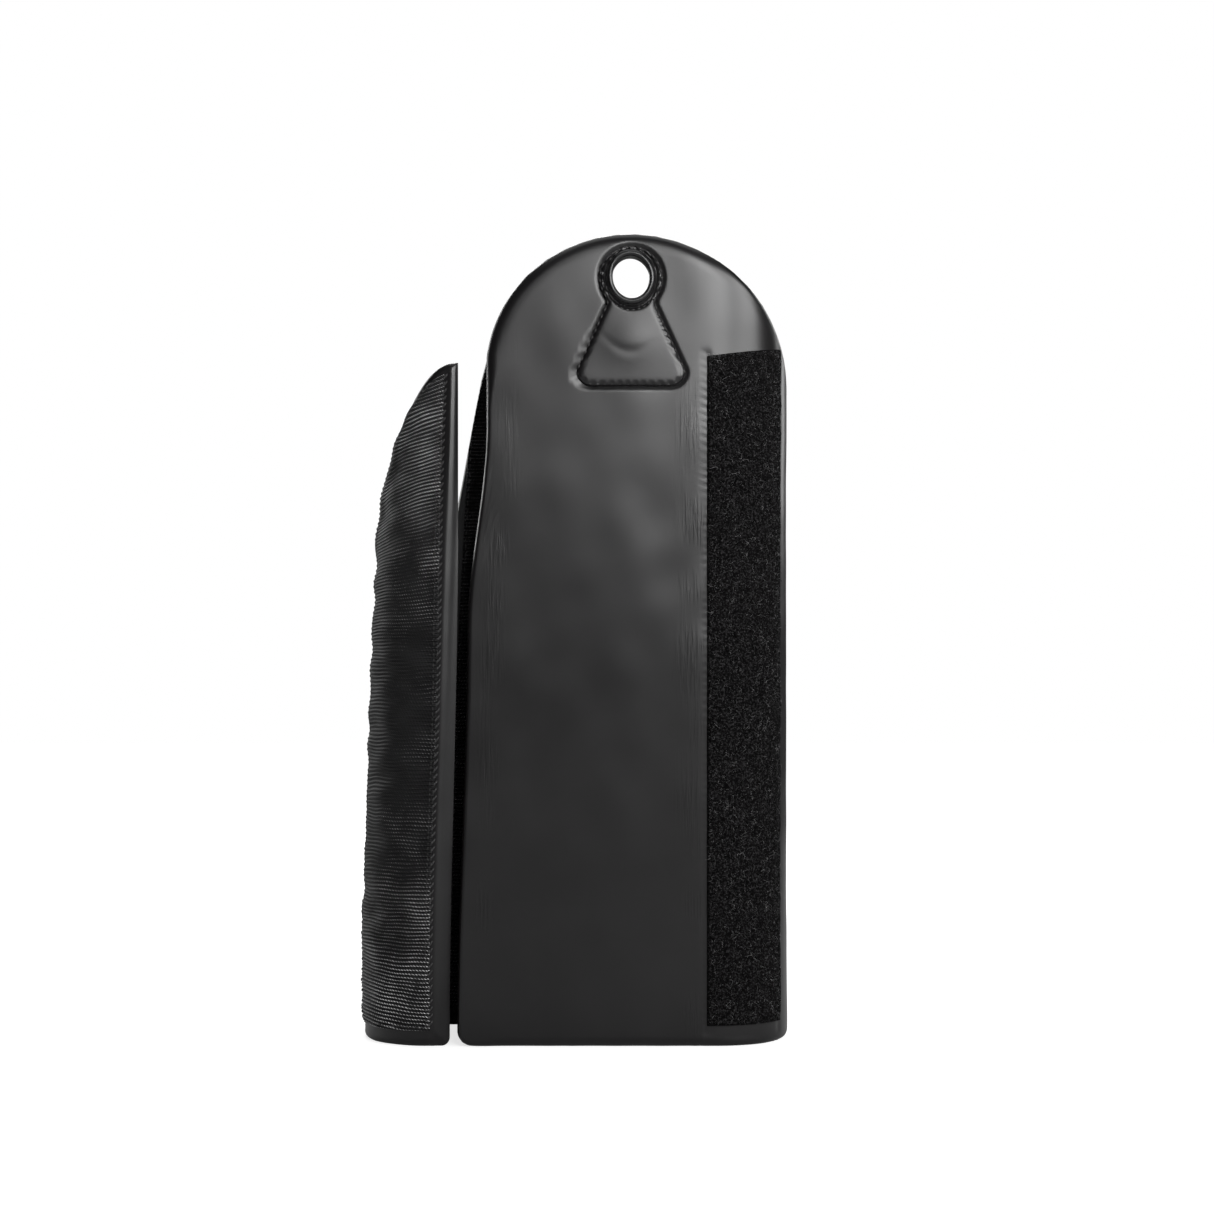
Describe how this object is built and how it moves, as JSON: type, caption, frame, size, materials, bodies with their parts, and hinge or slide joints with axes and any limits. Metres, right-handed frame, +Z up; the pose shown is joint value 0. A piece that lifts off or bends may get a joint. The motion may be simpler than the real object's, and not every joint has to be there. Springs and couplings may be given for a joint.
{
  "type": "kick shield",
  "caption": "Wrap-round leg kick shield: a foam-cored leather sheet standing as an open flattened tube, with a domed front, a hanging eyelet and a hook-faced closing flap.",
  "frame": {"origin": "centre of the bounding box's bottom, on the floor the shield stands on", "axes": "+Z up, -Y out of the closure side with the dome and the flap, +X towards the bend at the dome's shoulder"},
  "size_m": [0.2534, 0.0892, 0.47],
  "materials": {
    "pu_leather": "satin",
    "lining_cloth": "matt",
    "eva_foam": "matt",
    "loop_pile": "matt",
    "hook_tape": "matt",
    "sewing_thread": "matt",
    "black_plastic": "satin"
  },
  "bodies": {
    "back": {"back_cover": "pu_leather", "back_foam": "eva_foam", "back_lining": "lining_cloth", "inner_hook_tape": "hook_tape", "inner_hook_thread": "sewing_thread"},
    "front": {"front_cover": "pu_leather", "front_foam": "eva_foam", "front_lining": "lining_cloth", "loop_tape": "loop_pile", "loop_tape_thread": "sewing_thread", "edge_loop_tape": "loop_pile", "edge_loop_thread": "sewing_thread", "patch_pad": "eva_foam", "patch_skin": "pu_leather", "patch_thread": "sewing_thread", "eyelet": "black_plastic", "eyelet_washer": "black_plastic", "eyelet_spacer": "black_plastic"},
    "flap": {"flap_cover": "pu_leather", "flap_foam": "eva_foam", "flap_lining": "lining_cloth", "hook_tape": "hook_tape", "hook_tape_thread": "sewing_thread"}
  },
  "joints": [
    {"name": "right_fold", "type": "hinge", "parent": "back", "child": "front", "pos_m": [0.12314, 0.00255, 0], "axis": [0, 0, 1], "range_deg": [0, 120]},
    {"name": "left_fold", "type": "hinge", "parent": "back", "child": "flap", "pos_m": [-0.12086, 0.00255, 0], "axis": [0, 0, -1], "range_deg": [0, 120]}
  ]
}
